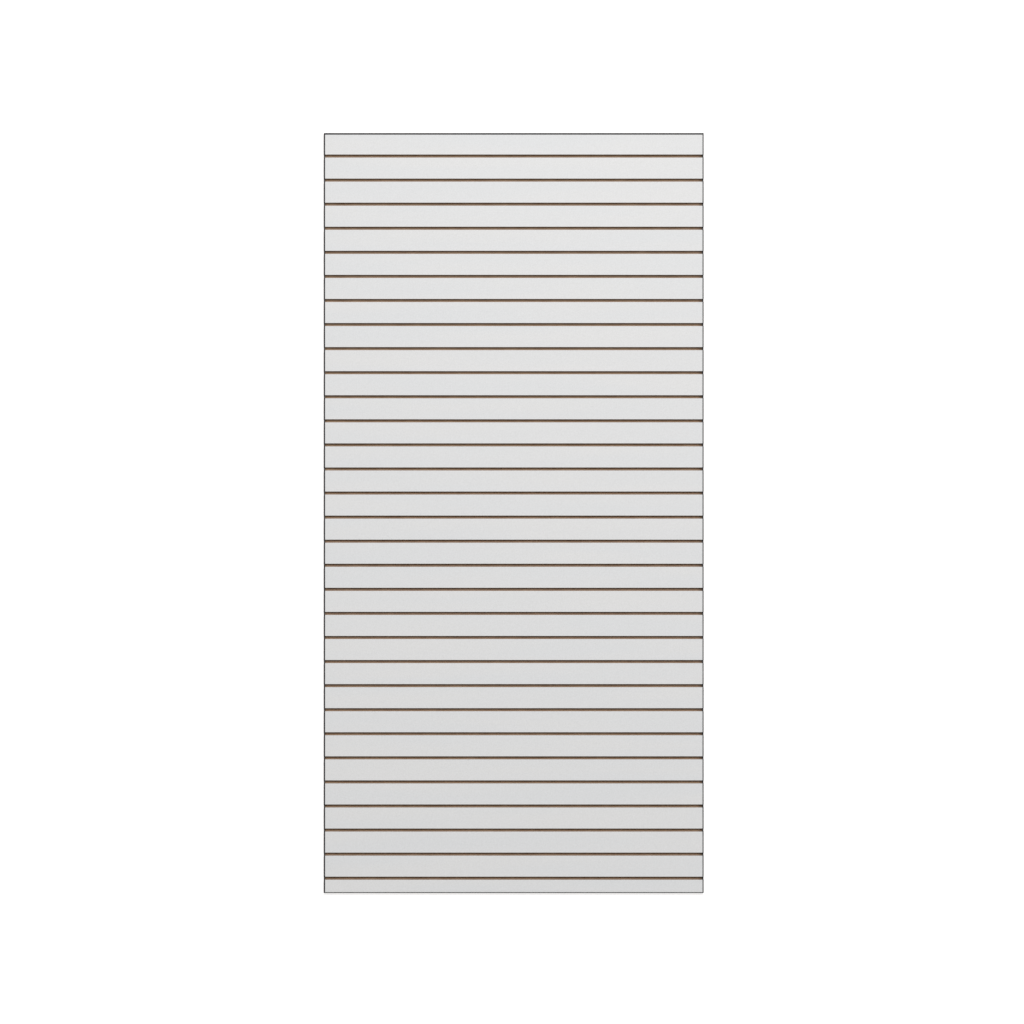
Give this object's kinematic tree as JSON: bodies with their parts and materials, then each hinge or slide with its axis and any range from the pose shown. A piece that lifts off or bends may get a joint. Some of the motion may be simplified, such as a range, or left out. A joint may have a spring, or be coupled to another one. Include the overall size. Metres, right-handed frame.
{
  "type": "grooved wall panel",
  "caption": "Flat rectangular board with a white face and T-shaped grooves running right across it, which hold slide-in hooks and shelf brackets when the board is fixed to a wall.",
  "frame": {"origin": "centre of the back face, on the floor that the panel lies on", "axes": "+X along the grooves, +Y towards the top edge of the hung panel, +Z out of the grooved face"},
  "size_m": [1.2, 2.4, 0.018],
  "materials": {
    "faced_board": "satin"
  },
  "bodies": {
    "root": {"grooved_panel": "faced_board"}
  },
  "joints": []
}
